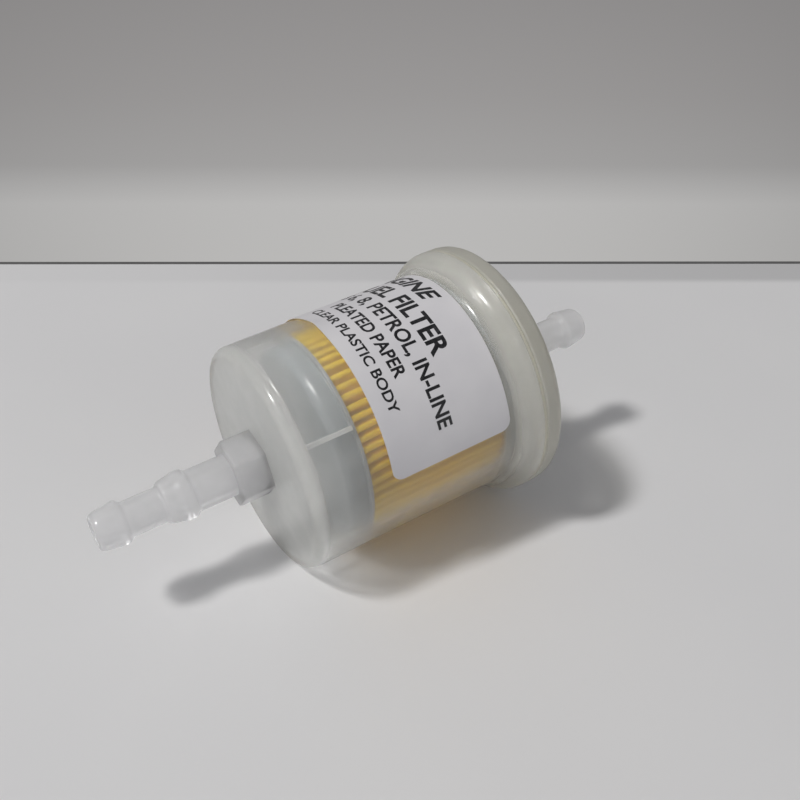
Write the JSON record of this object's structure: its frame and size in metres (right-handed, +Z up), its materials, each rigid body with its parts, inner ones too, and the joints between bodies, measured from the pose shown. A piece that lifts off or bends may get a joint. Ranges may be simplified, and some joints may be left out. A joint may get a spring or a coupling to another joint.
{
  "type": "in-line fuel filter",
  "caption": "Clear-bodied in-line fuel filter with a pleated paper element, a welded cover flange and a stepped hose barb at each end.",
  "frame": {"origin": "on the filter's axis, midway between the tips of the two hose nozzles, which is the centre of its bounding box", "axes": "+X along the axis, from the inlet nozzle towards the cover and outlet nozzle; +Z up; +Y completes the right-handed frame"},
  "size_m": [0.104, 0.0492, 0.0492],
  "materials": {
    "nozzle_plastic": "glossy, slightly milky",
    "clear_housing": "glossy, clear to slightly milky",
    "milky_cover": "satin gloss, milky",
    "weld": "remelted, milky",
    "printed_label": "smooth coated paper, printed black",
    "cap_plastic": "blue-grey moulded",
    "adhesive": "cast, slightly uneven",
    "filter_paper": "resin-treated, golden yellow",
    "black_rubber": "matt"
  },
  "bodies": {
    "root": {"inlet_nozzle": "nozzle_plastic", "housing": "clear_housing", "weld_seam": "weld", "cover": "milky_cover", "outlet_nozzle": "nozzle_plastic", "label": "printed_label", "front_end_cap": "cap_plastic", "front_potting": "adhesive", "pleated_media": "filter_paper", "rear_potting": "adhesive", "rear_end_cap": "cap_plastic", "outlet_seal": "black_rubber"}
  },
  "joints": []
}
